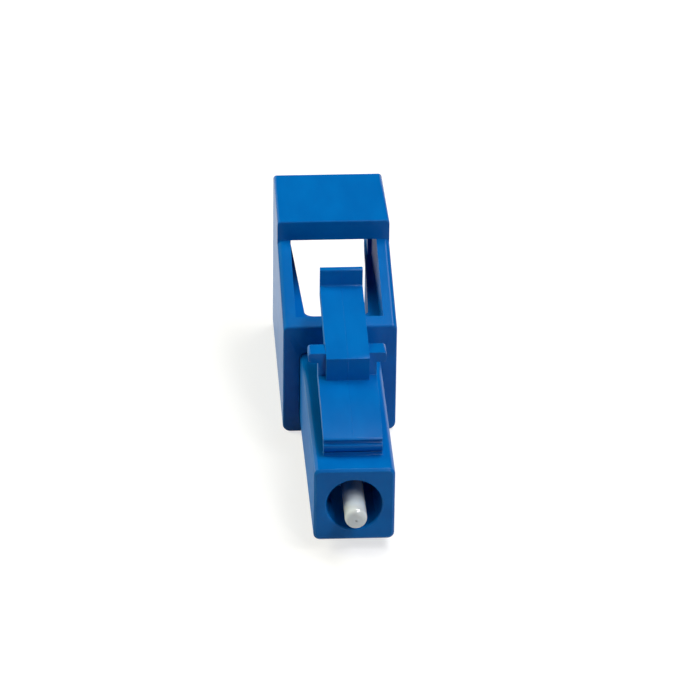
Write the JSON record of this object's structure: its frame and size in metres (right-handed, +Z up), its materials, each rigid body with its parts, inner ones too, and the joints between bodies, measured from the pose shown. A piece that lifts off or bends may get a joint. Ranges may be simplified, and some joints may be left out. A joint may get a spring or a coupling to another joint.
{
  "type": "fibre optic attenuator",
  "caption": "Plug-in fibre optic attenuator with a square latching plug and sprung ceramic ferrule in front and a matching female port with a top window behind.",
  "frame": {"origin": "middle of the bounding box, on the flat underside of the rear box", "axes": "+Y runs from the nose to the rear port, +Z is up towards the latch, +X is to the right seen from the nose"},
  "size_m": [0.0066, 0.0284, 0.0109],
  "materials": {
    "body_blue": "gloss moulded",
    "zirconia": "ground and polished",
    "glass_fibre": "polished end",
    "nickel_brass": "nickel plated",
    "spring_steel": "drawn wire",
    "holder_blue": "satin moulded"
  },
  "bodies": {
    "housing": {"plug_housing": "body_blue", "adapter_housing": "body_blue", "spring": "spring_steel", "spring_stop": "nickel_brass", "sleeve_holder": "holder_blue", "split_sleeve": "zirconia"},
    "latch": {"latch_lever": "body_blue"},
    "ferrule_unit": {"ferrule": "zirconia", "attenuating_fibre": "glass_fibre", "ferrule_flange": "nickel_brass"}
  },
  "joints": [
    {"name": "latch_press", "type": "hinge", "parent": "housing", "child": "latch", "pos_m": [0, -0.01064, 0.0057], "axis": [-1, 0, 0], "range_deg": [0, 8], "stiffness_Nm_per_rad": 0.05},
    {"name": "ferrule_float", "type": "slide", "parent": "housing", "child": "ferrule_unit", "axis": [0, 1, 0], "range_m": [0, 0.0006], "stiffness_N_per_m": 1000, "deforming": ["spring"]}
  ]
}
